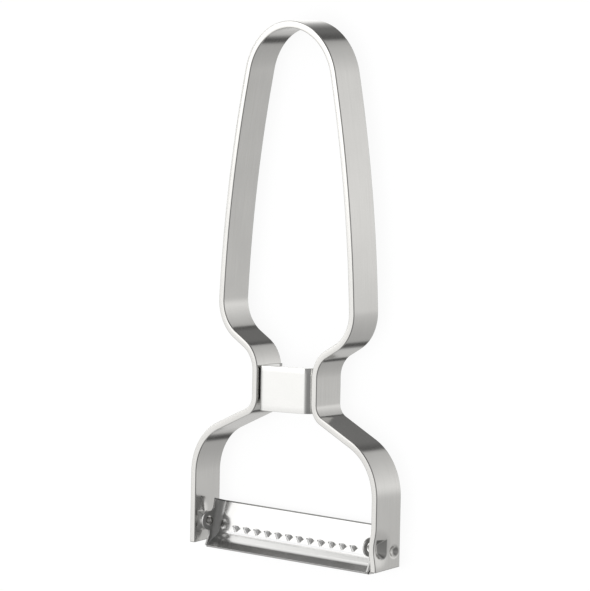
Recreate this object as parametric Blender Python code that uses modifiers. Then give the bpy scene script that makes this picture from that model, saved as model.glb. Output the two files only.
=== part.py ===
"""Julienne peeler: a bent-strip handle, a neck bracket and a swivelling toothed blade.

Metres. The tool is drawn standing, with its handle along +Z, its toothed side towards -Y and
its blade's lip at Z = 0. It is then laid on its back, as it rests on a table.
"""
import math

import bmesh
import bpy
from mathutils import Matrix, Vector

MM = 0.001

# Strip that the whole handle is bent from
STRIP_WIDTH = 10.0 * MM
STRIP_THICKNESS = 2.0 * MM
STRIP_EDGE_ROUND = 0.3 * MM
EDGE_STEPS = 3
HANDLE_HEIGHT = 150.0 * MM

# Corners of the strip's centre line, from the leg ends up: half widths, heights and radii
LEG_HALF = 35.1 * MM
SHOULDER_HEIGHT = 29.6 * MM
SHOULDER_RADIUS = 15.7 * MM
NECK_HALF = 11.5 * MM
NECK_FOOT_HEIGHT = 40.4 * MM
NECK_FOOT_RADIUS = 4.9 * MM
NECK_HEAD_HEIGHT = 55.8 * MM
NECK_HEAD_RADIUS = 8.3 * MM
GRIP_HALF = 25.45 * MM
GRIP_FOOT_HEIGHT = 63.7 * MM
GRIP_FOOT_RADIUS = 11.1 * MM
SIDE_HALF = 23.4 * MM
SIDE_HEIGHT = 103.7 * MM
SIDE_RADIUS = 380.0 * MM
TOP_HALF = 13.45 * MM
TOP_ROUND_SHARE = 0.999

# The leg ends are cut aslant: how far their front corners hang and their rear corners rise
LEG_FRONT_DROP = 0.6 * MM
LEG_REAR_RISE = 0.25 * MM

# Pivot pockets and noses and stop dimples pressed into the legs, measured from the leg ends
# and from the strip's front edge. The right leg's edge was drawn in with its pocket. Noses and
# stops stand out inside by their depths and leave shallower marks outside
PIVOT_HEIGHT = 5.8 * MM
PIVOT_SETBACK = 2.8 * MM
POCKET_HALF_WIDTH = 1.85 * MM
POCKET_RISE = 2.6 * MM
POCKET_DROP = 3.1 * MM
POCKET_WALL = 0.8 * MM
POCKET_DEPTH = 0.6 * MM
POCKET_MARK_SLOPE = math.radians(40)
NOSE_RADIUS = 1.85 * MM
NOSE_TIP_RADIUS = 0.3 * MM
NOSE_DEPTH = 2.2 * MM
FLARE_DEPTH = 0.9 * MM
FLARE_HALF_HEIGHT = 6.0 * MM
LEFT_FLARE_SETBACK = 3.2 * MM
LEFT_FLARE_HALF_WIDTH = 3.2 * MM
RIGHT_FLARE_SETBACK = 1.2 * MM
RIGHT_FLARE_HALF_WIDTH = 5.5 * MM
STOP_HEIGHT = 4.7 * MM
STOP_SETBACK = 7.5 * MM
STOP_RADIUS = 2.1 * MM
STOP_TIP_RADIUS = 0.3 * MM
STOP_DEPTH = 2.9 * MM
STOP_MARK_DEPTH = 1.0 * MM
PRESS_REACH = 13.0 * MM
PRESS_CELL = 0.5 * MM

# U bracket across the neck
BRACKET_THICKNESS = 1.2 * MM
BRACKET_HEIGHT = 12.8 * MM
BRACKET_FOOT_HEIGHT = 40.4 * MM
BRACKET_PROUD = 0.4 * MM
BRACKET_DEPTH = 9.0 * MM
BRACKET_BEND = 2.0 * MM
BRACKET_SLANT = 0.044
BRACKET_EDGE_ROUND = 0.2 * MM
SEAT_GAP = 0.3 * MM

# Blade, pressed from one sheet. Its section is measured from the pivot axis
SHEET = 0.6 * MM
EAR_CLEARANCE = 2.5 * MM
EAR_BEND_TOP = 2.2 * MM
EAR_BEND_FOOT = 1.6 * MM
BEND_STEPS = 5
LIP_BEND = 0.4 * MM
WALL_LEAN = math.radians(15.2)
WALL_HEIGHT = 9.5 * MM
WALL_FOOT = Vector((2.3, -3.5)) * MM
RISER_SLOPE = math.radians(59.0)
RISER_WIDTH = 2.15 * MM
LIP_SLOPE = math.radians(40.0)
LIP_WIDTH = 2.75 * MM
SECTION_ROUND = 3.6 * MM
EAR_EDGE_FLAT = 0.2 * MM
EAR_THROAT_RADIUS = 1.2 * MM
EAR_FOOT = Vector((0.1, -4.1)) * MM
EAR_CORNER_DEPTH = 2.6 * MM
EAR_CORNER_INSET = 0.05 * MM
LOBE_RADIUS = 2.7 * MM
PIVOT_CLEARANCE = 0.3 * MM

# Slot and teeth
SLOT_FOOT = 0.25 * MM
SLOT_WIDTH = 0.55 * MM
SLOT_LENGTH = 54.0 * MM
TOOTH_COUNT = 12
TOOTH_PITCH = 4.15 * MM
TOOTH_HEIGHT = 2.0 * MM
TOOTH_REACH = 1.6 * MM
TOOTH_DROP = 0.4 * MM
TOOTH_THICKNESS = 0.5 * MM
TOOTH_ROOT = 0.3 * MM
TOOTH_HEM = 0.1 * MM
CUTTER_REACH = 1.8 * MM

# How the meshes are made
WELD = 0.0001 * MM
FLAT_ANGLE = math.radians(0.5)
EDGE_ANGLE = math.radians(60)
SMOOTH_ANGLE = math.radians(35)
RING_STEPS = 24
HALVINGS = 30

# What follows from the sizes above
PIVOT_Y = -STRIP_WIDTH / 2 + PIVOT_SETBACK
STOP_Y = -STRIP_WIDTH / 2 + STOP_SETBACK
LEG_INNER = LEG_HALF - STRIP_THICKNESS / 2
NECK_INNER = NECK_HALF - STRIP_THICKNESS / 2
EAR_OUTSIDE = LEG_INNER - EAR_CLEARANCE
EAR_INSIDE = EAR_OUTSIDE - SHEET
RISER_FOOT = WALL_FOOT - RISER_WIDTH * Vector((math.cos(RISER_SLOPE), math.sin(RISER_SLOPE)))
LIP_FRONT = RISER_FOOT - LIP_WIDTH * Vector((math.cos(LIP_SLOPE), math.sin(LIP_SLOPE)))
WALL_UP = Vector((math.sin(WALL_LEAN), math.cos(WALL_LEAN)))
WALL_FORWARD = Vector((-math.cos(WALL_LEAN), math.sin(WALL_LEAN)))
WALL_TOP = WALL_FOOT + WALL_HEIGHT * WALL_UP
PIVOT_Z = SHEET * math.cos(LIP_SLOPE) - LIP_FRONT.y
LEG_END_Z = PIVOT_Z - PIVOT_HEIGHT

# Lays the standing tool on its back: the strip's rear edge at Z = 0 and the handle along +Y
LAID = Matrix(((1, 0, 0, 0),
               (0, 0, 1, -(LEG_END_Z + HANDLE_HEIGHT) / 2),
               (0, -1, 0, STRIP_WIDTH / 2),
               (0, 0, 0, 1)))

# Turns a drawing in (depth, height) into a prism along X
ACROSS = Matrix(((0, 0, 1, 0), (1, 0, 0, 0), (0, 1, 0, 0), (0, 0, 0, 1)))


def clear_scene():
    for thing in list(bpy.data.objects):
        bpy.data.objects.remove(thing, do_unlink=True)


def new_collection(name):
    made = bpy.data.collections.new(name)
    bpy.context.scene.collection.children.link(made)
    return made


def steel(name, colour, roughness):
    material = bpy.data.materials.new(name)
    material.use_nodes = True
    surface = material.node_tree.nodes["Principled BSDF"]
    surface.inputs["Base Color"].default_value = (*colour, 1)
    surface.inputs["Metallic"].default_value = 1.0
    surface.inputs["Roughness"].default_value = roughness
    return material


def fitted_radii(corners):
    """Radii of a path's arcs, the largest first limited to the room that their neighbours leave."""
    places = [Vector(corner[:2]) for corner in corners]
    radii = [corner[2] for corner in corners]
    inner = range(1, len(corners) - 1)
    reach = [0.0] * len(corners)
    for at in inner:
        back, ahead = places[at - 1] - places[at], places[at + 1] - places[at]
        reach[at] = math.tan((math.pi - back.angle(ahead)) / 2)
    for at in sorted(inner, key=lambda at: -radii[at]):
        room = min((places[near] - places[at]).length - radii[near] * reach[near]
                   for near in (at - 1, at + 1))
        if radii[at] * reach[at] > room:
            radii[at] = room / reach[at]
    return radii


def rounded(corners):
    """Points of an open path whose inner corners are arcs: (x, y, radius, steps) each."""
    points = [Vector(corners[0][:2])]
    radii = fitted_radii(corners)
    for before, corner, after, radius in zip(corners, corners[1:], corners[2:], radii[1:]):
        here = Vector(corner[:2])
        steps = corner[3]
        if radius == 0:
            points.append(here)
            continue
        back = (Vector(before[:2]) - here).normalized()
        ahead = (Vector(after[:2]) - here).normalized()
        turn = math.pi - back.angle(ahead)
        start = here + back * radius * math.tan(turn / 2)
        centre = here + (back + ahead).normalized() * radius / math.cos(turn / 2)
        spoke = start - centre
        way = 1 if back.cross(ahead) < 0 else -1
        for step in range(steps + 1):
            angle = way * turn * step / steps
            points.append(centre + Matrix.Rotation(angle, 2) @ spoke)
    points.append(Vector(corners[-1][:2]))
    return points


def both_sides(half):
    """A right-hand path and its mirror image, as one path from left end to right end."""
    left = [Vector((-point.x, point.y)) for point in half]
    if half[-1].x < WELD:
        left.pop()
    return left + half[::-1]


def evaluated(thing):
    """Replaces an object by a plain mesh object of what its modifiers make."""
    graph = bpy.context.evaluated_depsgraph_get()
    mesh = bpy.data.meshes.new_from_object(thing.evaluated_get(graph))
    plain = bpy.data.objects.new(thing.name, mesh)
    plain.matrix_world = thing.matrix_world
    for home in thing.users_collection:
        home.objects.link(plain)
    name = thing.name
    bpy.data.objects.remove(thing, do_unlink=True)
    plain.name = name
    return plain


def sheet_strip(name, path, place, sweep, thickness, edge_round, home):
    """A strip of sheet along a path, swept square to it, given its thickness and round edges."""
    mesh = bpy.data.meshes.new(name)
    strip = bmesh.new()
    verts = [strip.verts.new(place(point)) for point in path]
    edges = [strip.edges.new(pair) for pair in zip(verts, verts[1:])]
    swept = bmesh.ops.extrude_edge_only(strip, edges=edges)["geom"]
    moved = [item for item in swept if isinstance(item, bmesh.types.BMVert)]
    bmesh.ops.translate(strip, verts=moved, vec=sweep)
    strip.to_mesh(mesh)
    strip.free()
    made = bpy.data.objects.new(name, mesh)
    home.objects.link(made)
    wall = made.modifiers.new("thickness", "SOLIDIFY")
    wall.thickness = thickness
    wall.offset = 0
    wall.use_even_offset = True
    edge = made.modifiers.new("edge round", "BEVEL")
    edge.width = edge_round
    edge.segments = EDGE_STEPS
    edge.limit_method = "ANGLE"
    edge.angle_limit = EDGE_ANGLE
    return evaluated(made)


def prism(name, outline, half_length, home):
    """A solid with a drawn outline in (depth, height), along X about the middle."""
    curve = bpy.data.curves.new(name, "CURVE")
    curve.dimensions = "2D"
    curve.fill_mode = "BOTH"
    curve.extrude = half_length
    spline = curve.splines.new("POLY")
    spline.points.add(len(outline) - 1)
    for point, place in zip(spline.points, outline):
        point.co = (place[0], place[1], 0, 1)
    spline.use_cyclic_u = True
    made = bpy.data.objects.new(name, curve)
    made.matrix_world = ACROSS
    home.objects.link(made)
    solid = evaluated(made)
    solid.data.transform(ACROSS)
    solid.matrix_world = Matrix.Identity(4)
    welded = bmesh.new()
    welded.from_mesh(solid.data)
    bmesh.ops.remove_doubles(welded, verts=welded.verts, dist=WELD)
    bmesh.ops.dissolve_limit(welded, angle_limit=FLAT_ANGLE, verts=welded.verts,
                             edges=welded.edges)
    bmesh.ops.recalc_face_normals(welded, faces=welded.faces)
    welded.to_mesh(solid.data)
    welded.free()
    bpy.data.curves.remove(curve)
    return solid


def cut_or_join(thing, tool, operation):
    change = thing.modifiers.new(tool.name, "BOOLEAN")
    change.object = tool
    change.operation = operation
    change.solver = "EXACT"
    tool.hide_render = True
    tool.display_type = "WIRE"


def finish(thing, material):
    thing.data.materials.clear()
    thing.data.materials.append(material)
    thing.data.shade_smooth()
    thing.data.set_sharp_from_angle(angle=SMOOTH_ANGLE)


def bump(distance, tip, radius):
    """Height of a pressed dimple: 1 over its tip, falling smoothly to 0 at its rim."""
    share = min(max((distance - tip) / (radius - tip), 0), 1)
    return (1 + math.cos(math.pi * share)) / 2


def inside_pocket(y, height):
    """Distance in from the outline of the pocket: flat on top, round at the bottom."""
    over = abs(y - PIVOT_Y)
    up = height - (PIVOT_HEIGHT - POCKET_DROP + POCKET_HALF_WIDTH)
    if up < 0:
        return POCKET_HALF_WIDTH - math.hypot(over, up)
    top = PIVOT_HEIGHT + POCKET_RISE - height
    return min(POCKET_HALF_WIDTH - over, top)


def pressed_depth(side, y, height, outside=False):
    """How far a leg's sheet is pushed inwards at a place; side is 1 on the right leg."""
    setback, half_width = ((RIGHT_FLARE_SETBACK, RIGHT_FLARE_HALF_WIDTH) if side > 0 else
                           (LEFT_FLARE_SETBACK, LEFT_FLARE_HALF_WIDTH))
    flare = math.hypot((y + STRIP_WIDTH / 2 - setback) / half_width,
                       (height - PIVOT_HEIGHT) / FLARE_HALF_HEIGHT)
    nose = math.hypot(y - PIVOT_Y, height - PIVOT_HEIGHT)
    stop = math.hypot(y - STOP_Y, height - STOP_HEIGHT)
    inside = inside_pocket(y, height)
    if outside:
        boss = math.tan(POCKET_MARK_SLOPE) * max(inside, 0)
        stop_depth = STOP_MARK_DEPTH
    else:
        boss = (POCKET_DEPTH * bump(POCKET_WALL - inside, 0, POCKET_WALL)
                + NOSE_DEPTH * bump(nose, NOSE_TIP_RADIUS, NOSE_RADIUS))
        stop_depth = STOP_DEPTH
    return max(boss + FLARE_DEPTH * bump(flare, 0, 1),
               stop_depth * bump(stop, STOP_TIP_RADIUS, STOP_RADIUS))


def end_slant(y, height):
    """How far a place near a leg's end moves up for the slanting cut."""
    depth = y / STRIP_WIDTH + 0.5
    return (1 - height / PRESS_REACH) * (depth * LEG_REAR_RISE - (1 - depth) * LEG_FRONT_DROP)


def nose_radius_at(depth):
    """Widest that a pivot nose is where it stands a given depth from its leg."""
    widest = 0.0
    for side in (-1, 1):
        for step in range(RING_STEPS):
            angle = math.tau * step / RING_STEPS
            inner, outer = 0.0, NOSE_RADIUS
            for _ in range(HALVINGS):
                middle = (inner + outer) / 2
                place = (PIVOT_Y + middle * math.cos(angle), PIVOT_HEIGHT + middle * math.sin(angle))
                if pressed_depth(side, *place) > depth:
                    inner = middle
                else:
                    outer = middle
            widest = max(widest, outer)
    return widest


def grid_cuts(shape, low, high, axis):
    """Cuts the leg ends' faces into even bands along one axis."""
    count = round((high - low) / PRESS_CELL)
    normal = Vector((0, 0, 0))
    normal[axis] = 1
    for step in range(1, count):
        place = Vector((0, 0, 0))
        place[axis] = low + (high - low) * step / count
        near = [face for face in shape.faces
                if face.calc_center_median().z < LEG_END_Z + PRESS_REACH]
        around = {item for face in near for item in (*face.verts, *face.edges)}
        bmesh.ops.bisect_plane(shape, geom=near + list(around), dist=WELD,
                               plane_co=place, plane_no=normal)


def make_handle(home, material):
    centre_top = HANDLE_HEIGHT - STRIP_THICKNESS / 2
    side_slope = math.atan2(SIDE_HALF - TOP_HALF, centre_top - SIDE_HEIGHT)
    top_turn = math.pi / 2 - side_slope
    top_radius = TOP_ROUND_SHARE * TOP_HALF / math.tan(top_turn / 2)
    half = rounded([
        (LEG_HALF, 0, 0, 0),
        (LEG_HALF, PRESS_REACH, 0, 0),
        (LEG_HALF, SHOULDER_HEIGHT, SHOULDER_RADIUS, 10),
        (NECK_HALF, NECK_FOOT_HEIGHT, NECK_FOOT_RADIUS, 6),
        (NECK_HALF, NECK_HEAD_HEIGHT, NECK_HEAD_RADIUS, 7),
        (GRIP_HALF, GRIP_FOOT_HEIGHT, GRIP_FOOT_RADIUS, 8),
        (SIDE_HALF, SIDE_HEIGHT, SIDE_RADIUS, 8),
        (TOP_HALF, centre_top, top_radius, 14),
        (0, centre_top, 0, 0)])
    path = both_sides([Vector((point.x, point.y + LEG_END_Z)) for point in half])
    band = sheet_strip("handle_band", path,
                       lambda point: (point.x, -STRIP_WIDTH / 2, point.y),
                       Vector((0, STRIP_WIDTH, 0)), STRIP_THICKNESS, STRIP_EDGE_ROUND, home)
    shape = bmesh.new()
    shape.from_mesh(band.data)
    grid_cuts(shape, LEG_END_Z, LEG_END_Z + PRESS_REACH, 2)
    grid_cuts(shape, -STRIP_WIDTH / 2, STRIP_WIDTH / 2, 1)
    for vert in shape.verts:
        height = vert.co.z - LEG_END_Z
        if height < PRESS_REACH:
            height += end_slant(vert.co.y, height)
            side = math.copysign(1, vert.co.x)
            outside = side * vert.co.x > LEG_HALF
            vert.co.x -= side * pressed_depth(side, vert.co.y, height, outside)
            vert.co.z = LEG_END_Z + height
    shape.to_mesh(band.data)
    shape.free()
    finish(band, material)
    return band


def make_bracket(home, material):
    outer = NECK_INNER - SEAT_GAP - BRACKET_THICKNESS / 2
    front = -STRIP_WIDTH / 2 - BRACKET_PROUD + BRACKET_THICKNESS / 2
    back = front - BRACKET_THICKNESS / 2 + BRACKET_DEPTH
    half = rounded([(outer, back, 0, 0), (outer, front, BRACKET_BEND, 6), (0, front, 0, 0)])
    bracket = sheet_strip("neck_bracket", both_sides(half),
                          lambda point: (point.x, point.y, LEG_END_Z + BRACKET_FOOT_HEIGHT),
                          Vector((0, 0, BRACKET_HEIGHT)), BRACKET_THICKNESS,
                          BRACKET_EDGE_ROUND, home)
    slant = Matrix.Identity(4)
    slant[2][0] = BRACKET_SLANT
    bracket.data.transform(slant)
    finish(bracket, material)
    return bracket


def bend_radius(height):
    """Inner radius of the bend into the ear: small at the lip and growing up the wall."""
    if height < WALL_FOOT.y:
        share = (height - RISER_FOOT.y) / (WALL_FOOT.y - RISER_FOOT.y)
        return LIP_BEND + (EAR_BEND_FOOT - LIP_BEND) * max(share, 0)
    share = (height - WALL_FOOT.y) / (WALL_TOP.y - WALL_FOOT.y)
    return EAR_BEND_FOOT + (EAR_BEND_TOP - EAR_BEND_FOOT) * share


def blade_outline():
    """Inside of the blade's section and the front edge of its ears, about the pivot."""
    ear_top = WALL_TOP + (EAR_BEND_TOP + EAR_EDGE_FLAT) * WALL_FORWARD
    throat = WALL_FOOT + (LOBE_RADIUS - WALL_FOOT.y) / WALL_UP.y * WALL_UP
    throat.x -= (bend_radius(throat.y) + EAR_EDGE_FLAT) / WALL_UP.y
    section = rounded([
        (*LIP_FRONT, 0, 0),
        (*RISER_FOOT, SECTION_ROUND, 2),
        (*WALL_FOOT, SECTION_ROUND, 2),
        (*WALL_TOP, 0, 0)])
    front = rounded([
        (*ear_top, 0, 0),
        (*throat, EAR_THROAT_RADIUS, 5),
        (0, LOBE_RADIUS, 0, 0)])[:-1]
    lobe = [LOBE_RADIUS * Vector((-math.sin(angle), math.cos(angle)))
            for angle in (math.pi * step / 16 for step in range(17))]
    return section, front + lobe + [EAR_FOOT]


def ear_half(home):
    """The blade's inner surface from the middle to one ear, open at the middle."""
    section, front = blade_outline()
    inward = []
    for before, after in zip([section[0], *section[:-1]], [*section[1:], section[-1]]):
        run = (after - before).normalized()
        inward.append(Vector((-run.y, run.x)))
    shape = bmesh.new()
    along = shape.verts.layers.int.new("along")
    row = []
    for index, point in enumerate(section):
        row.append(shape.verts.new((0, *point)))
        row[-1][along] = index
    edges = [shape.edges.new(pair) for pair in zip(row, row[1:])]
    for step in range(BEND_STEPS + 1):
        angle = math.pi / 2 * step / BEND_STEPS
        swept = bmesh.ops.extrude_edge_only(shape, edges=edges)["geom"]
        row = [item for item in swept if isinstance(item, bmesh.types.BMVert)]
        edges = [item for item in swept if isinstance(item, bmesh.types.BMEdge)
                 and all(vert in row for vert in item.verts)]
        for vert in row:
            point = section[vert[along]]
            radius = bend_radius(point.y)
            place = point + radius * (1 - math.cos(angle)) * inward[vert[along]]
            vert.co = (EAR_INSIDE - radius * (1 - math.sin(angle)), *place)
    row.sort(key=lambda vert: vert[along])
    ear = [shape.verts.new((EAR_INSIDE, *point)) for point in front]
    rim = [shape.edges.new(pair) for pair in zip([row[-1], *ear], [*ear, row[0]])]
    bmesh.ops.contextual_create(shape, geom=rim + edges)
    bmesh.ops.recalc_face_normals(shape, faces=shape.faces)
    if max(shape.faces, key=lambda face: len(face.verts)).normal.x < 0:
        bmesh.ops.reverse_faces(shape, faces=shape.faces)
    mesh = bpy.data.meshes.new("blade")
    shape.to_mesh(mesh)
    shape.free()
    made = bpy.data.objects.new("blade", mesh)
    home.objects.link(made)
    return made


def make_blade(home, tools, material):
    blade = ear_half(home)
    twin = blade.modifiers.new("other half", "MIRROR")
    twin.merge_threshold = 0.01 * MM
    wall = blade.modifiers.new("sheet", "SOLIDIFY")
    wall.thickness = SHEET
    wall.offset = 1
    wall.use_even_offset = True
    cut_or_join(blade, corner_tool(tools), "UNION")
    cut_or_join(blade, slot_tool(tools), "DIFFERENCE")
    cut_or_join(blade, hole_tool(tools), "DIFFERENCE")
    cut_or_join(blade, window_tool(tools), "DIFFERENCE")
    cut_or_join(blade, tooth_tool(tools), "UNION")
    blade = evaluated(blade)
    blade.location = (0, PIVOT_Y, PIVOT_Z)
    for tool in tools.objects:
        tool.location = blade.location
    finish(blade, material)
    return blade


def corner_tool(tools):
    """The square lower corners that the ears keep below the lip's ends."""
    front = LIP_FRONT.x + SHEET * math.sin(LIP_SLOPE)
    rear = LIP_FRONT.x + EAR_CORNER_DEPTH
    wall = SHEET - 2 * EAR_CORNER_INSET
    return repeated(prism("ear corners", [(front, -PIVOT_Z), (rear, -PIVOT_Z),
                                          (rear, RISER_FOOT.y), (RISER_FOOT.x, RISER_FOOT.y)],
                          wall / 2, tools), 2, EAR_OUTSIDE + EAR_INSIDE)


def slot_tool(tools):
    low = WALL_FOOT + SLOT_FOOT * WALL_UP
    high = low + SLOT_WIDTH * WALL_UP
    reach = CUTTER_REACH * WALL_FORWARD
    return prism("slot", [low + reach, low - reach, high - reach, high + reach],
                 SLOT_LENGTH / 2, tools)


def hole_tool(tools):
    radius = nose_radius_at(LEG_INNER - EAR_OUTSIDE) + PIVOT_CLEARANCE
    ring = [radius * Vector((math.cos(angle), math.sin(angle)))
            for angle in (math.tau * step / RING_STEPS for step in range(RING_STEPS))]
    return prism("pivot holes", ring, LEG_INNER, tools)


def tooth_line():
    """Foot and head of the line along which a tooth stands on the wall."""
    foot = WALL_FOOT + (SLOT_FOOT + SLOT_WIDTH + TOOTH_HEM) * WALL_UP
    return foot, foot + TOOTH_HEIGHT * WALL_UP


def repeated(tool, count, pitch):
    """A row of copies of a tool along X, about the middle."""
    row = tool.modifiers.new("row", "ARRAY")
    row.count = count
    row.use_relative_offset = False
    row.use_constant_offset = True
    row.constant_offset_displace = (pitch, 0, 0)
    tool.data.transform(Matrix.Translation((-(count - 1) / 2 * pitch, 0, 0)))
    return tool


def tooth_tool(tools):
    """The teeth: small fins across the blade, each sunk into the wall at its root."""
    foot, head = tooth_line()
    tip = head - Vector((TOOTH_REACH, TOOTH_DROP))
    root = TOOTH_ROOT * WALL_FORWARD
    return repeated(prism("teeth", [tip, foot, foot - root, head - root],
                          TOOTH_THICKNESS / 2, tools), TOOTH_COUNT, TOOTH_PITCH)


def window_tool(tools):
    """The triangles that the teeth are folded out of, beside them and open to the slot."""
    foot, head = tooth_line()
    outline = [(-TOOTH_HEM - SLOT_WIDTH / 2, 0), (TOOTH_HEIGHT, 0),
               (TOOTH_HEIGHT - TOOTH_DROP, TOOTH_REACH)]
    windows = prism("windows", outline, CUTTER_REACH, tools)
    lay = Matrix(((0, 0, -1, -TOOTH_THICKNESS / 2 - TOOTH_HEM),
                  (WALL_FORWARD.x, WALL_UP.x, 0, foot.x),
                  (WALL_FORWARD.y, WALL_UP.y, 0, foot.y),
                  (0, 0, 0, 1)))
    windows.data.transform(lay)
    return repeated(windows, TOOTH_COUNT, TOOTH_PITCH)


def main():
    clear_scene()
    home = new_collection("julienne_peeler")
    tools = new_collection("blade tools")
    satin = steel("satin steel", (0.56, 0.56, 0.55), 0.28)
    bright = steel("polished steel", (0.66, 0.66, 0.65), 0.14)
    make_handle(home, satin)
    make_bracket(home, satin)
    make_blade(home, tools, bright)
    bpy.context.view_layer.update()
    for thing in (*home.objects, *tools.objects):
        thing.matrix_world = LAID @ thing.matrix_world


main()
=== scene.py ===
import math

import bmesh
import bpy
from mathutils import Matrix, Vector


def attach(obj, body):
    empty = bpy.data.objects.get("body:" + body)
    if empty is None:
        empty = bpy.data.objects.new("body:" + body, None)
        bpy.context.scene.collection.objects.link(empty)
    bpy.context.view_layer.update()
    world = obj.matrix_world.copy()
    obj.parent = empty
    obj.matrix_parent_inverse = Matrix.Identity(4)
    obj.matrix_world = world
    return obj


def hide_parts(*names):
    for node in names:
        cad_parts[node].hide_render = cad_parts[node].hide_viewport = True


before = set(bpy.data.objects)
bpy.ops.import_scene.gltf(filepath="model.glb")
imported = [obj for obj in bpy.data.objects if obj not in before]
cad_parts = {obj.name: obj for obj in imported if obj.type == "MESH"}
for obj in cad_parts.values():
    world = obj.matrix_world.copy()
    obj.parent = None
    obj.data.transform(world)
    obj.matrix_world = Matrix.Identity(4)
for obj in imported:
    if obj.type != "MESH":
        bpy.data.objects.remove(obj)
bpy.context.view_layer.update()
scene = bpy.context.scene
mm = 0.001
shortest = 0.01 * mm  # straight runs under this are left out, and mirrored halves are joined within it
print("frame loaded", sorted(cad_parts))


# Shader building
class Value:
    def __init__(self, maker, socket):
        self.maker = maker
        self.socket = socket

    def math(self, operation, first, second):
        return self.maker.math(operation, first, second)

    def __add__(self, other):
        return self.math("ADD", self, other)

    def __radd__(self, other):
        return self.math("ADD", other, self)

    def __sub__(self, other):
        return self.math("SUBTRACT", self, other)

    def __rsub__(self, other):
        return self.math("SUBTRACT", other, self)

    def __mul__(self, other):
        return self.math("MULTIPLY", self, other)

    def __rmul__(self, other):
        return self.math("MULTIPLY", other, self)


class ShaderMaker:
    def __init__(self, name, home=None):
        self.home = home or bpy.data.materials.new(name)
        self.home.use_nodes = True
        self.tree = self.home.node_tree
        self.tree.nodes.clear()

    def node(self, kind, settings=None, sockets=None):
        made = self.tree.nodes.new(kind)
        for name, setting in (settings or {}).items():
            if name == "stops":
                ramp = made.color_ramp.elements
                while len(ramp) < len(setting):
                    ramp.new(0.5)
                for stop, (place, level) in zip(ramp, setting):
                    stop.position = place
                    stop.color = (level, level, level, 1)
            else:
                setattr(made, name, setting)
        for name, value in (sockets or {}).items():
            if isinstance(value, Value):
                self.tree.links.new(value.socket, made.inputs[name])
            else:
                made.inputs[name].default_value = value
        return made

    def math(self, operation, first, second=0.0):
        return self.value("ShaderNodeMath", {"operation": operation}, {0: first, 1: second})

    def value(self, kind, settings=None, sockets=None, output=0):
        return Value(self, self.node(kind, settings, sockets).outputs[output])

    def blend(self, share, low, high):
        return self.value("ShaderNodeMix", {"data_type": "RGBA"}, {0: share, 6: low, 7: high}, 2)


# Mesh helpers
def newObject(name, mesh):
    made = bpy.data.objects.new(name, mesh)
    scene.collection.objects.link(made)
    return made


def meshFrom(shape, name):
    mesh = bpy.data.meshes.new(name)
    shape.to_mesh(mesh)
    shape.free()
    return mesh


def baked(thing):  # the same object with its modifiers worked in
    graph = bpy.context.evaluated_depsgraph_get()
    mesh = bpy.data.meshes.new_from_object(thing.evaluated_get(graph))
    name = thing.name
    bpy.data.objects.remove(thing, do_unlink=True)
    mesh.name = name
    return newObject(name, mesh)


def onlyVerts(items):
    return [item for item in items if isinstance(item, bmesh.types.BMVert)]


def onlyEdges(items):
    return [item for item in items if isinstance(item, bmesh.types.BMEdge)]


# Strip bending: a section is pushed straight and swung round its bends, in the plane Y = 0
def stripSection(shape, width, thickness, edgeRound, segments, columns):
    bmesh.ops.create_grid(shape, x_segments=1, y_segments=1, size=0.5)
    bmesh.ops.scale(shape, vec=(thickness, width, 1), verts=shape.verts)
    bmesh.ops.bevel(shape, geom=shape.verts[:], offset=edgeRound, offset_type="OFFSET",
                    segments=segments, profile=0.5, affect="VERTICES", material=-1)
    bmesh.ops.delete(shape, geom=shape.faces[:], context="FACES_ONLY")
    longEdges = [edge for edge in shape.edges if edge.calc_length() > width / 2]
    bmesh.ops.subdivide_edges(shape, edges=longEdges, cuts=columns - 1)
    return shape.edges[:]


class StripBender:
    def __init__(self, shape, rim, start, heading):
        self.shape = shape
        self.rim = rim
        self.unbent = shape.verts.layers.float_vector.new("unbent")
        self.length = 0.0
        self.place = Vector(start)
        self.heading = Vector(heading)
        for vert in shape.verts:
            vert[self.unbent] = (vert.co.x, vert.co.y, 0)
        bmesh.ops.translate(shape, verts=shape.verts, vec=(self.place.x, 0, self.place.y))

    def mark(self, verts, length):
        for vert in verts:
            flat = Vector(vert[self.unbent])
            vert[self.unbent] = (flat.x, flat.y, length)

    def push(self, distance, steps):
        step = self.heading * distance / steps
        for _ in range(steps):
            swept = bmesh.ops.extrude_edge_only(self.shape, edges=self.rim)["geom"]
            verts = onlyVerts(swept)
            self.rim = [edge for edge in onlyEdges(swept) if all(vert in verts for vert in edge.verts)]
            bmesh.ops.translate(self.shape, verts=verts, vec=(step.x, 0, step.y))
            self.length += distance / steps
            self.mark(verts, self.length)
        self.place += self.heading * distance

    def swing(self, radius, turn, steps):
        aside = Vector((self.heading.y, -self.heading.x)) * math.copysign(radius, turn)
        centre = self.place + aside
        for _ in range(steps):
            geom = self.rim + list({vert for edge in self.rim for vert in edge.verts})
            swept = bmesh.ops.spin(self.shape, geom=geom, cent=(centre.x, 0, centre.y), axis=(0, 1, 0),
                                   angle=turn / steps, steps=1)["geom_last"]
            self.rim = onlyEdges(swept)
            self.length += radius * abs(turn) / steps
            self.mark(onlyVerts(swept), self.length)
        spokes = Matrix.Rotation(-turn, 2)
        self.place = centre - spokes @ aside
        self.heading = spokes @ self.heading


def bendPlan(corners, heading):  # straight lengths and bends from corner points and radii
    place = Vector(corners[0][:2])
    heading = Vector(heading)
    plan = []
    for corner, after in zip(corners[1:], corners[2:]):
        here = Vector(corner[:2])
        ahead = (Vector(after[:2]) - here).normalized()
        turn = math.atan2(ahead.x, ahead.y) - math.atan2(heading.x, heading.y)
        tangent = corner[2] * math.tan(abs(turn) / 2)
        plan.append(((here - place).length - tangent, corner[2], turn, corner[3]))
        place = here + ahead * tangent
        heading = ahead
    return plan, (Vector(corners[-1][:2]) - place).length


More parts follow.
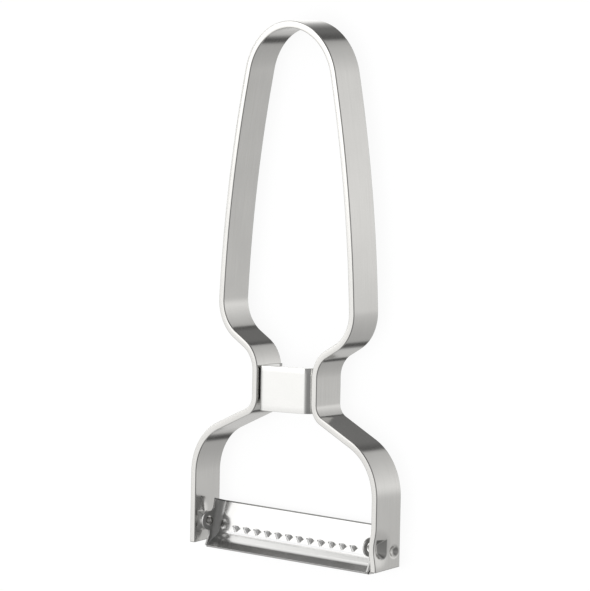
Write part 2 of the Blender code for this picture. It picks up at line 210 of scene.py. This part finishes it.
def bentStrip(settings, corners, startRun):  # both halves of a strip bent along its corners
    shape = bmesh.new()
    rim = stripSection(shape, settings["width"], settings["thickness"], settings["edgeRound"],
                       settings["edgeSegments"], settings["columns"])
    start = list(rim)
    bender = StripBender(shape, rim, corners[0][:2], (0, 1))
    plan, last = bendPlan(corners, (0, 1))
    if startRun:
        bender.push(startRun, settings["startRows"])
    for count, (straight, radius, turn, steps) in enumerate(plan):
        rest = straight - (startRun if count == 0 else 0)
        if rest > shortest:
            bender.push(rest, settings["straightRows"])
        bender.swing(radius, turn, steps)
    if last > shortest:
        bender.push(last, settings["straightRows"])
    half = bender.length
    for vert in onlyVerts(list({vert for edge in bender.rim for vert in edge.verts})):
        vert.co.x = 0
    for vert in shape.verts:
        flat = Vector(vert[bender.unbent])
        vert[bender.unbent] = (flat.x, flat.y, half - flat.z)
    cap = bmesh.ops.contextual_create(shape, geom=start)["faces"]
    for thickness, depth in settings["endRound"]:
        bmesh.ops.recalc_face_normals(shape, faces=shape.faces)
        bmesh.ops.inset_region(shape, faces=cap, thickness=thickness, depth=depth,
                               use_even_offset=True)
    bmesh.ops.mirror(shape, geom=shape.verts[:] + shape.edges[:] + shape.faces[:],
                     merge_dist=shortest / 2, axis="X")
    for vert in shape.verts:
        if vert.co.x < 0:
            flat = Vector(vert[bender.unbent])
            vert[bender.unbent] = (flat.x, flat.y, -flat.z)
    bmesh.ops.recalc_face_normals(shape, faces=shape.faces)
    return shape


# Handle
handle = {
    "width": 10 * mm, "thickness": 2.0 * mm, "edgeRound": 0.3 * mm, "edgeSegments": 6, "columns": 46,
    "startRows": 62, "straightRows": 3, "height": 150 * mm, "pressReach": 13 * mm,
    "endRound": ((0.06 * mm, -0.04 * mm), (0.1 * mm, 0.1 * mm)),
    "frontDrop": 0.6 * mm, "rearRise": 0.25 * mm,  # the leg ends are cut aslant
    # Corners of the centre line, in mm: half width, height above the leg ends, radius, and steps
    # round the bend
    "legHalf": 35.1 * mm,
    "shoulder": (35.1, 29.6, 15.7, 22),
    "neckFoot": (11.5, 40.4, 4.9, 12),
    "neckHead": (11.5, 55.8, 8.3, 14),
    "gripFoot": (25.45, 63.7, 11.1, 16),
    "side": (23.4, 103.7, 380.0, 14),
    "topHalf": 13.45 * mm, "topSteps": 36,
}
pivot = {
    "height": 5.8 * mm, "setback": 2.8 * mm,
    "pocketHalfWidth": 1.85 * mm, "pocketRise": 2.6 * mm, "pocketDrop": 3.1 * mm,
    "pocketWall": 0.8 * mm, "pocketDepth": 0.6 * mm, "markSlope": math.radians(40),
    "noseRadius": 1.85 * mm, "noseTip": 0.3 * mm, "noseDepth": 2.2 * mm,
    "flareDepth": 0.9 * mm, "flareHalfHeight": 6.0 * mm,
    # The right leg, 1, has its edge drawn in with its pocket, and the left one, -1, does not
    "flareSetback": {1: 1.2 * mm, -1: 3.2 * mm}, "flareHalfWidth": {1: 5.5 * mm, -1: 3.2 * mm},
}
stopDimple = {"height": 4.7 * mm, "setback": 7.5 * mm, "radius": 2.1 * mm, "tip": 0.3 * mm,
              "depth": 2.9 * mm, "markDepth": 1.0 * mm}


def pressed(distance, tip, radius):  # 1 over a punch's tip, falling smoothly to 0 at its rim
    share = min(max((distance - tip) / (radius - tip), 0), 1)
    return (1 + math.cos(math.pi * share)) / 2


def insidePocket(across, height):  # distance in from the pocket's outline, about the pivot
    up = height + pivot["pocketDrop"] - pivot["pocketHalfWidth"]
    if up < 0:
        return pivot["pocketHalfWidth"] - math.hypot(across, up)
    return min(pivot["pocketHalfWidth"] - abs(across), pivot["pocketRise"] - height)


def pressedDepth(side, fromFront, height, outside):  # how far the leg's sheet is pushed inwards
    flare = math.hypot((fromFront - pivot["flareSetback"][side]) / pivot["flareHalfWidth"][side],
                       (height - pivot["height"]) / pivot["flareHalfHeight"])
    across, up = fromFront - pivot["setback"], height - pivot["height"]
    nose = math.hypot(across, up)
    stop = math.hypot(fromFront - stopDimple["setback"], height - stopDimple["height"])
    inside = insidePocket(across, up)
    if outside:
        boss = math.tan(pivot["markSlope"]) * max(inside, 0)
        stopDepth = stopDimple["markDepth"]
    else:
        boss = (pivot["pocketDepth"] * pressed(pivot["pocketWall"] - inside, 0, pivot["pocketWall"])
                + pivot["noseDepth"] * pressed(nose, pivot["noseTip"], pivot["noseRadius"]))
        stopDepth = stopDimple["depth"]
    return max(boss + pivot["flareDepth"] * pressed(flare, 0, 1),
               stopDepth * pressed(stop, stopDimple["tip"], stopDimple["radius"]))


def endSlant(fromFront, height):  # how far a place near a leg's end moves up for its slanting cut
    depth = fromFront / handle["width"]
    slant = depth * handle["rearRise"] - (1 - depth) * handle["frontDrop"]
    return (1 - height / handle["pressReach"]) * slant


def makeHandle():
    crown = handle["height"] - handle["thickness"] / 2
    sideX, sideZ = handle["side"][0] * mm, handle["side"][1] * mm
    topTurn = math.pi / 2 - math.atan2(sideX - handle["topHalf"], crown - sideZ)
    topRadius = handle["topHalf"] / math.tan(topTurn / 2)
    corners = [(handle["legHalf"], 0)]
    for name in ("shoulder", "neckFoot", "neckHead", "gripFoot", "side"):
        x, z, radius, steps = handle[name]
        corners.append((x * mm, z * mm, radius * mm, steps))
    corners += [(handle["topHalf"], crown, topRadius, handle["topSteps"]), (0, crown)]
    shape = bentStrip(handle, corners, handle["pressReach"])
    for vert in shape.verts:
        height = vert.co.z
        if height < handle["pressReach"]:
            fromFront = vert.co.y + handle["width"] / 2
            height += endSlant(fromFront, height)
            side = 1 if vert.co.x > 0 else -1
            outside = abs(vert.co.x) > handle["legHalf"]
            vert.co.x -= side * pressedDepth(side, fromFront, height, outside)
            vert.co.z = height
    bmesh.ops.translate(shape, verts=shape.verts, vec=(0, 0, legEnd))
    made = newObject("handle_strip", meshFrom(shape, "handle_strip"))
    made.data.transform(laid)
    made.data.shade_smooth()
    print("handle strip", len(made.data.polygons), "faces")
    return made


# Bracket across the neck
bracket = {
    "width": 12.8 * mm, "thickness": 1.2 * mm, "edgeRound": 0.12 * mm, "edgeSegments": 3, "columns": 8,
    "startRows": 1, "straightRows": 4, "foot": 40.4 * mm, "proud": 0.4 * mm, "depth": 9.0 * mm,
    "bend": 2.0 * mm, "bendSteps": 10, "slant": 0.044, "seatGap": 0.3 * mm,
    "endRound": ((0.05 * mm, -0.02 * mm), (0.07 * mm, 0.07 * mm)),
}


def makeBracket():
    neckInner = handle["neckFoot"][0] * mm - handle["thickness"] / 2
    outer = neckInner - bracket["seatGap"] - bracket["thickness"] / 2
    front = -handle["width"] / 2 - bracket["proud"] + bracket["thickness"] / 2
    reach = bracket["depth"] - bracket["thickness"] / 2
    # Bent upright like the handle, its flange ends at Z = 0, then laid over so that its web faces
    # forward
    corners = [(outer, 0), (outer, reach, bracket["bend"], bracket["bendSteps"]), (0, reach)]
    shape = bentStrip(bracket, corners, 0)
    bmesh.ops.transform(shape, matrix=Matrix.Rotation(math.pi / 2, 4, "X"), verts=shape.verts)
    slant = Matrix.Identity(4)
    slant[2][0] = bracket["slant"]
    bmesh.ops.transform(shape, matrix=slant, verts=shape.verts)
    bmesh.ops.translate(shape, verts=shape.verts, vec=(
        0, front + reach, legEnd + bracket["foot"] + bracket["width"] / 2))
    made = newObject("neck_clip", meshFrom(shape, "neck_clip"))
    made.data.transform(laid)
    made.data.shade_smooth()
    print("neck clip", len(made.data.polygons), "faces")
    return made


# Blade, drawn in (depth, height) about its pivot
blade = {
    "sheet": 0.6 * mm, "earClearance": 2.5 * mm, "bendTop": 2.2 * mm, "bendFoot": 1.6 * mm,
    "bendSteps": 12, "lipBend": 0.4 * mm, "wallLean": math.radians(15.2), "wallHeight": 9.5 * mm,
    "wallFoot": Vector((2.3, -3.5)) * mm, "riserSlope": math.radians(59), "riserWidth": 2.15 * mm,
    "lipSlope": math.radians(40), "lipWidth": 2.75 * mm, "sectionRound": 3.6 * mm, "sectionSteps": 6,
    "earFlat": 0.2 * mm, "throatRadius": 1.2 * mm, "earFoot": Vector((0.1, -4.1)) * mm,
    "throatSteps": 7, "lobeRadius": 2.7 * mm, "lobeSteps": 28, "holeRadius": 1.45 * mm, "holeSteps": 40,
    "cornerDepth": 2.6 * mm, "cornerInset": 0.03 * mm,
    "slotFoot": 0.25 * mm, "slotWidth": 0.55 * mm, "slotLength": 54 * mm,
    "toolReach": 1.8 * mm, "holeToolLength": 70 * mm,  # how far the cutting tools pass the sheet
    "rimRound": 0.2 * mm, "rimSteps": 3, "rimAngle": math.radians(60),
    "sharpAngle": math.radians(30),
    # How far down from the wall's top edge its colour is painted dark as shade, and how far from the
    # ears their bends are painted darker as shade
    "paintedShadeBand": 0.4 * mm, "shadedBend": 1.9 * mm,
}
teeth = {"count": 12, "pitch": 4.15 * mm, "height": 2.0 * mm, "reach": 1.6 * mm, "drop": 0.4 * mm,
         "thickness": 0.5 * mm, "root": 0.3 * mm, "hem": 0.1 * mm}
bladeFinishes = ("wall", "teeth", "top edge painted shade", "ears")  # in the order of the blade's materials
wallUp = Vector((math.sin(blade["wallLean"]), math.cos(blade["wallLean"])))
wallForward = Vector((-wallUp.y, wallUp.x))
riserFoot = blade["wallFoot"] - blade["riserWidth"] * Vector(
    (math.cos(blade["riserSlope"]), math.sin(blade["riserSlope"])))
lipFront = riserFoot - blade["lipWidth"] * Vector(
    (math.cos(blade["lipSlope"]), math.sin(blade["lipSlope"])))
wallTop = blade["wallFoot"] + blade["wallHeight"] * wallUp
pivotY = -handle["width"] / 2 + pivot["setback"]
pivotZ = blade["sheet"] * math.cos(blade["lipSlope"]) - lipFront.y
earInside = handle["legHalf"] - handle["thickness"] / 2 - blade["earClearance"] - blade["sheet"]
legEnd = pivotZ - pivot["height"]
# Everything is drawn standing, handle along +Z, and laid on its back with the handle along +Y
laid = Matrix(((1, 0, 0, 0),
               (0, 0, 1, -(legEnd + handle["height"]) / 2),
               (0, -1, 0, handle["width"] / 2),
               (0, 0, 0, 1)))


def wire(shape, points, x=0.0):
    verts = [shape.verts.new((x, *point)) for point in points]
    for pair in zip(verts, verts[1:]):
        shape.edges.new(pair)
    return verts


def turnRound(shape, vert, radius, steps):  # rounds the corner of a wire
    ways = [(edge.other_vert(vert).co - vert.co).normalized() for edge in vert.link_edges]
    turn = math.pi - ways[0].angle(ways[1])
    bmesh.ops.bevel(shape, geom=[vert], offset=radius * math.tan(turn / 2), offset_type="OFFSET",
                    segments=steps, profile=0.5, affect="VERTICES", material=-1)


def bendRadius(height):  # inside the bend into the ear: small at the lip and growing up the wall
    foot = blade["wallFoot"].y
    if height < foot:
        share = max((height - riserFoot.y) / (foot - riserFoot.y), 0)
        return blade["lipBend"] + (blade["bendFoot"] - blade["lipBend"]) * share
    rise = (height - foot) / (wallTop.y - foot)
    return blade["bendFoot"] + (blade["bendTop"] - blade["bendFoot"]) * rise


def bladeHalf():  # the sheet's inner surface from the middle to one ear
    shape = bmesh.new()
    section = wire(shape, (lipFront, riserFoot, blade["wallFoot"], wallTop))
    for vert in section[1:3]:
        turnRound(shape, vert, blade["sectionRound"], blade["sectionSteps"])
    along = shape.verts.layers.int.new("along")
    order = sorted(shape.verts, key=lambda vert: vert.co.z)
    points = [Vector(vert.co.yz) for vert in order]
    inward = []
    for before, after in zip([points[0], *points[:-1]], [*points[1:], points[-1]]):
        run = (after - before).normalized()
        inward.append(Vector((-run.y, run.x)))
    for index, vert in enumerate(order):
        vert[along] = index
    edges = shape.edges[:]
    for step in range(blade["bendSteps"] + 1):
        angle = math.pi / 2 * step / blade["bendSteps"]
        swept = bmesh.ops.extrude_edge_only(shape, edges=edges)["geom"]
        row = onlyVerts(swept)
        edges = [edge for edge in onlyEdges(swept) if all(vert in row for vert in edge.verts)]
        for vert in row:
            point = points[vert[along]]
            radius = bendRadius(point.y)
            place = point + radius * (1 - math.cos(angle)) * inward[vert[along]]
            vert.co = (earInside - radius * (1 - math.sin(angle)), *place)
    row.sort(key=lambda vert: vert[along])
    top = wallTop + (blade["bendTop"] + blade["earFlat"]) * wallForward
    throat = blade["wallFoot"] + (blade["lobeRadius"] - blade["wallFoot"].y) / wallUp.y * wallUp
    throat.x -= (bendRadius(throat.y) + blade["earFlat"]) / wallUp.y
    lobe = [blade["lobeRadius"] * Vector((-math.sin(angle), math.cos(angle)))
            for angle in (math.pi * step / blade["lobeSteps"] for step in range(blade["lobeSteps"] + 1))]
    ear = wire(shape, [top, throat, *lobe, blade["earFoot"]], earInside)
    shape.edges.new((row[-1], ear[0]))
    shape.edges.new((ear[-1], row[0]))
    turnRound(shape, ear[1], blade["throatRadius"], blade["throatSteps"])
    outline = [edge for edge in shape.edges if edge.is_wire]
    bmesh.ops.contextual_create(shape, geom=outline + edges)
    bmesh.ops.recalc_face_normals(shape, faces=shape.faces)
    if max(shape.faces, key=lambda face: len(face.verts)).normal.x < 0:
        bmesh.ops.reverse_faces(shape, faces=shape.faces)
    return newObject("blade_sheet", meshFrom(shape, "blade_sheet"))


def crossBar(name, outline, halfLength):  # a bar along X with a drawn end
    shape = bmesh.new()
    verts = [shape.verts.new((-halfLength, point[0], point[1])) for point in outline]
    face = shape.faces.new(verts)
    swept = bmesh.ops.extrude_face_region(shape, geom=[face])["geom"]
    bmesh.ops.translate(shape, verts=onlyVerts(swept), vec=(2 * halfLength, 0, 0))
    bmesh.ops.recalc_face_normals(shape, faces=shape.faces)
    return newObject(name, meshFrom(shape, name))


def spread(tool, count, pitch):  # a row of copies along X, about the middle
    row = tool.modifiers.new("row", "ARRAY")
    row.count = count
    row.use_relative_offset = False
    row.use_constant_offset = True
    row.constant_offset_displace = (pitch, 0, 0)
    tool.data.transform(Matrix.Translation((-(count - 1) / 2 * pitch, 0, 0)))
    return tool


def bladeTools():
    up = blade["slotWidth"] * wallUp
    foot = blade["wallFoot"] + blade["slotFoot"] * wallUp
    reach = blade["toolReach"] * wallForward
    slot = crossBar("slot tool", (foot + reach, foot - reach, foot + up - reach, foot + up + reach),
                    blade["slotLength"] / 2)
    holes = bmesh.new()
    bmesh.ops.create_cone(holes, cap_ends=True, segments=blade["holeSteps"],
                          radius1=blade["holeRadius"], radius2=blade["holeRadius"],
                          depth=blade["holeToolLength"], matrix=Matrix.Rotation(math.pi / 2, 4, "Y"))
    holes = newObject("hole tool", meshFrom(holes, "hole tool"))
    toothFoot = foot + (blade["slotWidth"] + teeth["hem"]) * wallUp
    head = toothFoot + teeth["height"] * wallUp
    tip = head - Vector((teeth["reach"], teeth["drop"]))
    root = teeth["root"] * wallForward
    fins = spread(crossBar("teeth tool", (tip, toothFoot, toothFoot - root, head - root),
                           teeth["thickness"] / 2), teeth["count"], teeth["pitch"])
    for face in fins.data.polygons:
        face.material_index = bladeFinishes.index("teeth")
    windows = crossBar("window tool", (
        (-teeth["hem"] - blade["slotWidth"] / 2, 0), (teeth["height"], 0),
        (teeth["height"] - teeth["drop"], teeth["reach"])), blade["toolReach"])
    lay = Matrix(((0, 0, -1, -teeth["thickness"] / 2 - teeth["hem"]),
                  (wallForward.x, wallUp.x, 0, toothFoot.x),
                  (wallForward.y, wallUp.y, 0, toothFoot.y),
                  (0, 0, 0, 1)))
    windows.data.transform(lay)
    spread(windows, teeth["count"], teeth["pitch"])
    front = lipFront.x + blade["sheet"] * math.sin(blade["lipSlope"])
    rear = lipFront.x + blade["cornerDepth"]
    corners = spread(crossBar("corner tool", (
        (front, -pivotZ), (rear, -pivotZ), (rear, riserFoot.y), (riserFoot.x, riserFoot.y)),
        blade["sheet"] / 2 - blade["cornerInset"]), 2, 2 * earInside + blade["sheet"])
    return ((corners, "UNION"), (slot, "DIFFERENCE"), (holes, "DIFFERENCE"), (windows, "DIFFERENCE"),
            (fins, "UNION"))


def makeBlade():
    made = bladeHalf()
    twin = made.modifiers.new("other half", "MIRROR")
    twin.merge_threshold = shortest
    wall = made.modifiers.new("sheet", "SOLIDIFY")
    wall.thickness = blade["sheet"]
    wall.offset = 1
    wall.use_even_offset = True
    made = baked(made)
    for finish in bladeFinishes:
        made.data.materials.append(bladeSteels[finish])
    shape = bmesh.new()
    shape.from_mesh(made.data)
    rim = [edge for edge in shape.edges
           if edge.is_manifold and edge.calc_face_angle() > blade["rimAngle"]]
    bmesh.ops.bevel(shape, geom=rim, offset=blade["rimRound"], offset_type="OFFSET",
                    segments=blade["rimSteps"], profile=0.5, affect="EDGES", clamp_overlap=True,
                    material=-1)
    # The wall's top band gets the near-black finish: painted shade along its rounded top edge
    paintedShadeFrom = wallTop - blade["paintedShadeBand"] * wallUp
    bmesh.ops.bisect_plane(shape, geom=shape.verts[:] + shape.edges[:] + shape.faces[:],
                           plane_co=(0, *paintedShadeFrom), plane_no=(0, *wallUp))
    for face in shape.faces:
        middle = face.calc_center_median()
        if (Vector(middle.yz) - paintedShadeFrom).dot(wallUp) > 0:
            face.material_index = bladeFinishes.index("top edge painted shade")
        # Faces on the ears and the bends into them get a darker colour: painted shade
        elif abs(middle.x) > earInside - blade["shadedBend"]:
            face.material_index = bladeFinishes.index("ears")
    shape.to_mesh(made.data)
    shape.free()
    tools = bladeTools()
    for tool, operation in tools:
        change = made.modifiers.new(tool.name, "BOOLEAN")
        change.object = tool
        change.operation = operation
        change.solver = "EXACT"
    made = baked(made)
    for tool, _ in tools:
        bpy.data.objects.remove(tool, do_unlink=True)
    made.data.transform(laid @ Matrix.Translation((0, pivotY, pivotZ)))
    made.data.shade_smooth()
    made.data.set_sharp_from_angle(angle=blade["sharpAngle"])
    shading = made.modifiers.new("even shading", "WEIGHTED_NORMAL")
    shading.weight = 100
    shading.keep_sharp = True
    made = baked(made)
    print("blade", len(made.data.polygons), "faces")
    return made


# Finishes. Grain is how fine the brushing is along X, Y and Z, and the bent pieces are brushed in
# the coordinates of their unbent strip
satin = {"colour": (0.71, 0.705, 0.69, 1), "dark": (0.61, 0.605, 0.592, 1), "metallic": 1.0,
         "roughness": 0.17, "place": "unbent", "grain": (5200, 5200, 55), "grainBump": 0.06,
         "cloudScale": 90.0}
clipFinish = {"colour": (0.8, 0.8, 0.79, 1), "dark": (0.76, 0.76, 0.75, 1), "metallic": 1.0,
              "roughness": 0.2, "place": "unbent", "grain": (5200, 5200, 55), "grainBump": 0.03,
              "cloudScale": 90.0}
wallFinish = {"colour": (0.66, 0.66, 0.655, 1), "dark": (0.6, 0.6, 0.595, 1), "metallic": 1.0,
              "roughness": 0.19, "grain": (70, 3600, 3600), "grainBump": 0.03, "cloudScale": 140.0}
# A near-white, barely metallic colour painted on the teeth as the sheen of their lit faces
toothSheenFinish = {"colour": (0.96, 0.96, 0.955, 1), "dark": (0.91, 0.91, 0.905, 1), "metallic": 0.2,
               "roughness": 0.6, "grain": (2600, 2600, 2600), "grainBump": 0.05, "cloudScale": 300.0}
# A near-black colour painted as shade along the wall's top edge
topEdgeShadeFinish = {"colour": (0.22, 0.22, 0.217, 1), "dark": (0.16, 0.16, 0.158, 1), "metallic": 1.0,
              "roughness": 0.4, "grain": (2600, 2600, 2600), "grainBump": 0.05, "cloudScale": 300.0}
# A darker colour painted as shade on the ears and the bends into them
earShadeFinish = {"colour": (0.56, 0.56, 0.555, 1), "dark": (0.45, 0.45, 0.445, 1), "metallic": 1.0,
             "roughness": 0.4, "grain": (2600, 2600, 2600), "grainBump": 0.05, "cloudScale": 300.0}
# How much the brushing and the clouding change every finish's tone and roughness
brushing = {"grainDetail": 3.0, "grainNoise": 0.6, "grainShare": 0.6, "grainRoughness": 0.10,
            "cloudDetail": 4.0, "cloudNoise": 0.55, "cloudShare": 0.4, "cloudRoughness": 0.08,
            "bumpDistance": 0.02 * mm, "tones": ((0.25, 0.0), (0.75, 1.0))}


def steel(name, finish):
    make = ShaderMaker(name)
    if "place" in finish:
        place = make.value("ShaderNodeAttribute", {"attribute_name": finish["place"]}, output=1)
    else:
        place = make.value("ShaderNodeTexCoord", output=3)
    stretched = make.value("ShaderNodeMapping", {"vector_type": "POINT"}, {
        "Vector": place, "Scale": finish["grain"]})
    grain = make.value("ShaderNodeTexNoise", None, {
        "Vector": stretched, "Scale": 1.0, "Detail": brushing["grainDetail"],
        "Roughness": brushing["grainNoise"]})
    cloud = make.value("ShaderNodeTexNoise", None, {
        "Vector": place, "Scale": finish["cloudScale"], "Detail": brushing["cloudDetail"],
        "Roughness": brushing["cloudNoise"]})
    tone = make.value("ShaderNodeValToRGB", {"stops": brushing["tones"]}, {
        0: grain * brushing["grainShare"] + cloud * brushing["cloudShare"]})
    roughness = (finish["roughness"] + (grain - 0.5) * brushing["grainRoughness"]
                 + (cloud - 0.5) * brushing["cloudRoughness"])
    bump = make.value("ShaderNodeBump", None, {
        "Strength": finish["grainBump"], "Distance": brushing["bumpDistance"], "Height": grain})
    shader = make.value("ShaderNodeBsdfPrincipled", None, {
        "Base Color": make.blend(tone, finish["dark"], finish["colour"]),
        "Metallic": finish["metallic"], "Roughness": roughness, "Normal": bump})
    make.node("ShaderNodeOutputMaterial", None, {0: shader})
    return make.home


stripSteel = steel("satin strip steel", satin)
clipSteel = steel("satin clip steel", clipFinish)
bladeSteels = {
    "wall": steel("polished blade steel", wallFinish),
    "teeth": steel("tooth steel painted bright", toothSheenFinish),
    "top edge painted shade": steel("top edge painted shade steel", topEdgeShadeFinish),
    "ears": steel("ear steel painted darker", earShadeFinish),
}
print("steels made")

strip = makeHandle()
strip.data.materials.append(stripSteel)
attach(strip, "handle")
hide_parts("handle_band")

web = makeBracket()
web.data.materials.append(clipSteel)
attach(web, "handle")
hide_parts("neck_bracket")

cutter = makeBlade()
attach(cutter, "blade")
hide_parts("blade")


# Studio. The tent's directions are those of the standing tool: degrees round from its back towards
# +X, and degrees above its horizon
studio = {
    "floorSize": 6.0, "floorColour": (0.12, 0.12, 0.12, 1), "floorGlow": 0.9, "worldLevel": 0.75,
    "fadeFrom": 0.25, "fadeTo": 0.9, "keyPower": 6.0, "keySize": 0.9, "keyPlace": (-0.5, -0.2, 1.4),
    "keyAim": (0, 0, 0.05), "tentRadius": 1.3, "tentRounding": 4, "tentPeak": 2.5,
    "tentTint": (1, 0.995, 0.985, 1),
    "horizonFrom": -0.12, "horizonTo": 0.02,
}
# What the metal mirrors: brightness of the tent's walls all round, above and below the horizon
wallAbove = (
    (-180, 0.33), (-166, 0.33), (-158, 1.9), (-132.5, 2.0), (-130, 0.15), (-128, 0.15), (-125.5, 2.2),
    (-112, 1.8), (-99, 0.5), (-84, 0.42), (-77, 1.2), (-52, 1.2), (-41, 1.3), (-37, 0.7), (-32, 0.44),
    (-27, 0.28), (-18, 0.30), (-8, 0.22), (0, 0.15), (4, 0.96), (45, 1.0), (64, 0.9), (84, 0.4),
    (98, 0.3), (180, 0.33))
wallBelow = (
    (-180, 0.62), (-170, 0.95), (-158, 1.6), (-130, 1.6), (-112, 1.1), (-98, 0.8), (-84, 0.8),
    (-76, 1.2), (-52, 1.2), (-26, 1.1), (-19, 0.4), (-13, 0.16), (-4, 0.2), (1, 0.95), (45, 1.0),
    (64, 0.9), (84, 0.6), (98, 0.36), (160, 0.36), (180, 0.62))
# How that brightness changes with height
riseLevel = (
    (-90, 0.5), (-55, 0.54), (-40, 0.56), (-25, 0.62), (-14, 0.69), (-7, 0.75), (0, 0.95), (6, 1.04),
    (14, 0.95), (25, 0.84), (35, 0.74), (43, 0.68), (49, 0.42), (60, 0.34), (90, 0.5))


def softLight(name, place, aim, size, power):
    lamp = bpy.data.lights.new(name, "AREA")
    lamp.shape = "DISK"
    lamp.size = size
    lamp.energy = power
    made = bpy.data.objects.new(name, lamp)
    made.location = place
    ahead = Vector(aim) - Vector(place)
    made.rotation_euler = ahead.to_track_quat("-Z", "Y").to_euler()
    made.visible_glossy = False
    scene.collection.objects.link(made)


def seenDirectly(make):  # 1 for what the camera sees, also by way of metal or glass
    path = make.node("ShaderNodeLightPath")
    return (Value(make, path.outputs["Is Camera Ray"]) + Value(make, path.outputs["Is Glossy Ray"])
            + Value(make, path.outputs["Is Transmission Ray"]))


def makeFloor():
    shape = bmesh.new()
    bmesh.ops.create_grid(shape, x_segments=1, y_segments=1, size=studio["floorSize"] / 2)
    made = newObject("studio_floor", meshFrom(shape, "studio_floor"))
    make = ShaderMaker("pale floor")
    seen = seenDirectly(make)
    place = make.value("ShaderNodeTexCoord", output=3)
    reach = make.value("ShaderNodeVectorMath", {"operation": "LENGTH"}, {0: place}, 1)
    far = make.value("ShaderNodeMapRange", {"interpolation_type": "SMOOTHSTEP"}, {
        "Value": reach, "From Min": studio["fadeFrom"], "From Max": studio["fadeTo"]})
    matt = make.value("ShaderNodeBsdfDiffuse", None, {"Color": studio["floorColour"]})
    glow = make.value("ShaderNodeEmission", None, {
        "Color": (1, 1, 1, 1), "Strength": seen * studio["floorGlow"]})
    near = make.value("ShaderNodeAddShader", None, {0: matt, 1: glow})
    white = make.value("ShaderNodeEmission", None, {"Color": (1, 1, 1, 1), "Strength": seen})
    both = make.value("ShaderNodeMixShader", None, {0: far, 1: near, 2: white})
    make.node("ShaderNodeOutputMaterial", None, {0: both})
    made.data.materials.append(make.home)
    made.visible_glossy = False


def makeTent():
    shape = bmesh.new()
    bmesh.ops.create_icosphere(shape, subdivisions=studio["tentRounding"],
                               radius=studio["tentRadius"])
    bmesh.ops.reverse_faces(shape, faces=shape.faces[:])
    made = newObject("light_tent", meshFrom(shape, "light_tent"))
    make = ShaderMaker("light tent")
    place = make.value("ShaderNodeTexCoord", output=3)
    way = make.value("ShaderNodeVectorMath", {"operation": "NORMALIZE"}, {0: place})
    parts = make.node("ShaderNodeSeparateXYZ", None, {0: way})
    x, z, toFront = (Value(make, parts.outputs[axis]) for axis in range(3))
    bearing = make.math("ARCTAN2", x, 0 - toFront) * (0.5 / math.pi) + 0.5
    rise = make.math("ARCSINE", z) * (1 / math.pi) + 0.5

    def profile(place, table, span):
        stops = tuple(((angle + span / 2) / span, level / studio["tentPeak"]) for angle, level in table)
        return make.value("ShaderNodeValToRGB", {"stops": stops}, {0: place})

    above = profile(bearing, wallAbove, 360)
    below = profile(bearing, wallBelow, 360)
    level = profile(rise, riseLevel, 180)
    over = make.value("ShaderNodeMapRange", {"interpolation_type": "SMOOTHSTEP"}, {
        "Value": z, "From Min": studio["horizonFrom"], "From Max": studio["horizonTo"]})
    wall = below * (1 - over) + above * over
    glow = make.value("ShaderNodeEmission", None, {
        "Color": studio["tentTint"], "Strength": wall * level * studio["tentPeak"] ** 2})
    make.node("ShaderNodeOutputMaterial", None, {0: glow})
    made.data.materials.append(make.home)
    made.visible_camera = False
    made.visible_diffuse = False
    made.visible_shadow = False
    made.visible_transmission = False
    made.visible_volume_scatter = False


def makeWorld():
    world = bpy.data.worlds.new("studio")
    scene.world = world
    make = ShaderMaker("studio", world)
    level = seenDirectly(make) * (1 - studio["worldLevel"]) + studio["worldLevel"]
    back = make.value("ShaderNodeBackground", None, {"Color": (1, 1, 1, 1), "Strength": level})
    make.node("ShaderNodeOutputWorld", None, {0: back})


makeFloor()
makeTent()
makeWorld()
softLight("key light", studio["keyPlace"], studio["keyAim"], studio["keySize"], studio["keyPower"])
print("studio built")


# Camera, placed about the standing tool: angles in radians, place in mm, the focal length and
# frame height in pixels of the photograph, and its farthest view in metres
camera = {"azimuth": 0.7587832, "elevation": 0.1023243, "roll": 0.0194915, "focal": 4499.2545,
          "place": (862.0216, -910.3761, 203.4770), "frameHeight": 591, "sensor": 36,
          "farthest": 20}


def makeCamera():
    turn, lift, roll = camera["azimuth"], camera["elevation"], camera["roll"]
    ahead = Vector((-math.sin(turn) * math.cos(lift), math.cos(turn) * math.cos(lift),
                    -math.sin(lift)))
    right = Vector((math.cos(turn), math.sin(turn), 0))
    up = right.cross(ahead)
    acrossFrame = right * math.cos(roll) + up * math.sin(roll)
    upFrame = up * math.cos(roll) - right * math.sin(roll)
    lens = bpy.data.cameras.new("photo camera")
    lens.sensor_width = camera["sensor"]
    lens.lens = camera["focal"] * camera["sensor"] / camera["frameHeight"]
    lens.clip_end = camera["farthest"]
    made = bpy.data.objects.new("photo camera", lens)
    place = Matrix((acrossFrame, upFrame, -ahead)).transposed().to_4x4()
    place.translation = Vector(camera["place"]) * mm
    made.matrix_world = laid @ place
    scene.collection.objects.link(made)
    scene.camera = made


makeCamera()
scene.view_settings.view_transform = "Standard"
print("camera placed")
